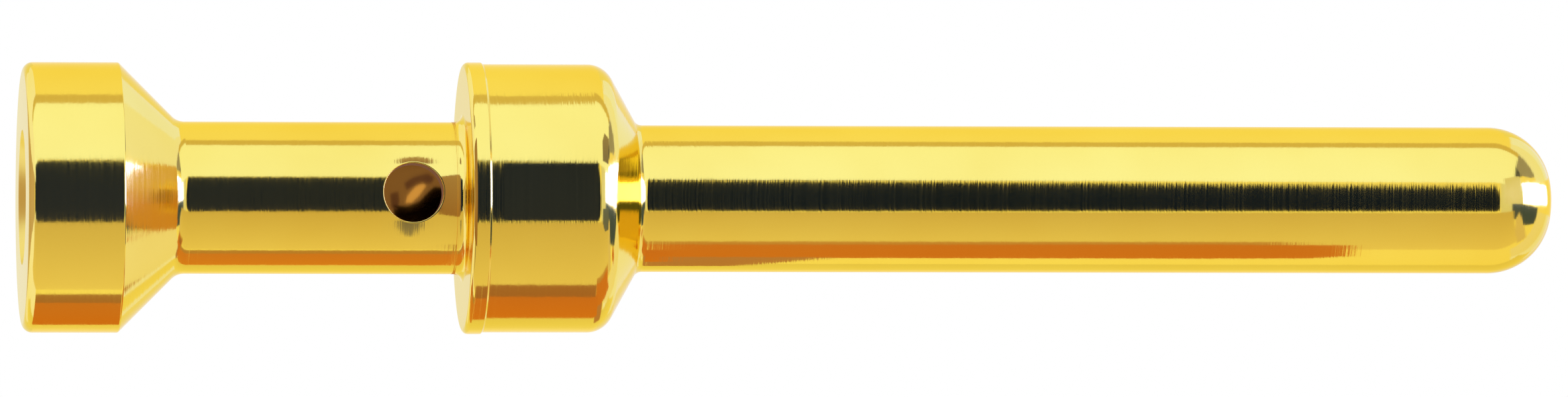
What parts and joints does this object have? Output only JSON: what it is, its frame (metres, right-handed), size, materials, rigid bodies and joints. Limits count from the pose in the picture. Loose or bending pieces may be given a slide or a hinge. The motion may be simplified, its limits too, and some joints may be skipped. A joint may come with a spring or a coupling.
{
  "type": "crimp contact",
  "caption": "Turned male crimp contact: flanged wire end, crimp barrel with inspection hole, retaining collar and straight round-nosed pin, gold plated.",
  "frame": {"origin": "centre of the wire-entry face, which the contact stands on", "axes": "+Z along the turned axis from the wire entry to the pin's tip; the inspection hole in the barrel faces -Y"},
  "size_m": [0.0046, 0.0046, 0.0261],
  "materials": {
    "gold_plated_brass": "polished gold plating over turned copper alloy"
  },
  "bodies": {
    "root": {"crimp_contact": "gold_plated_brass"}
  },
  "joints": []
}
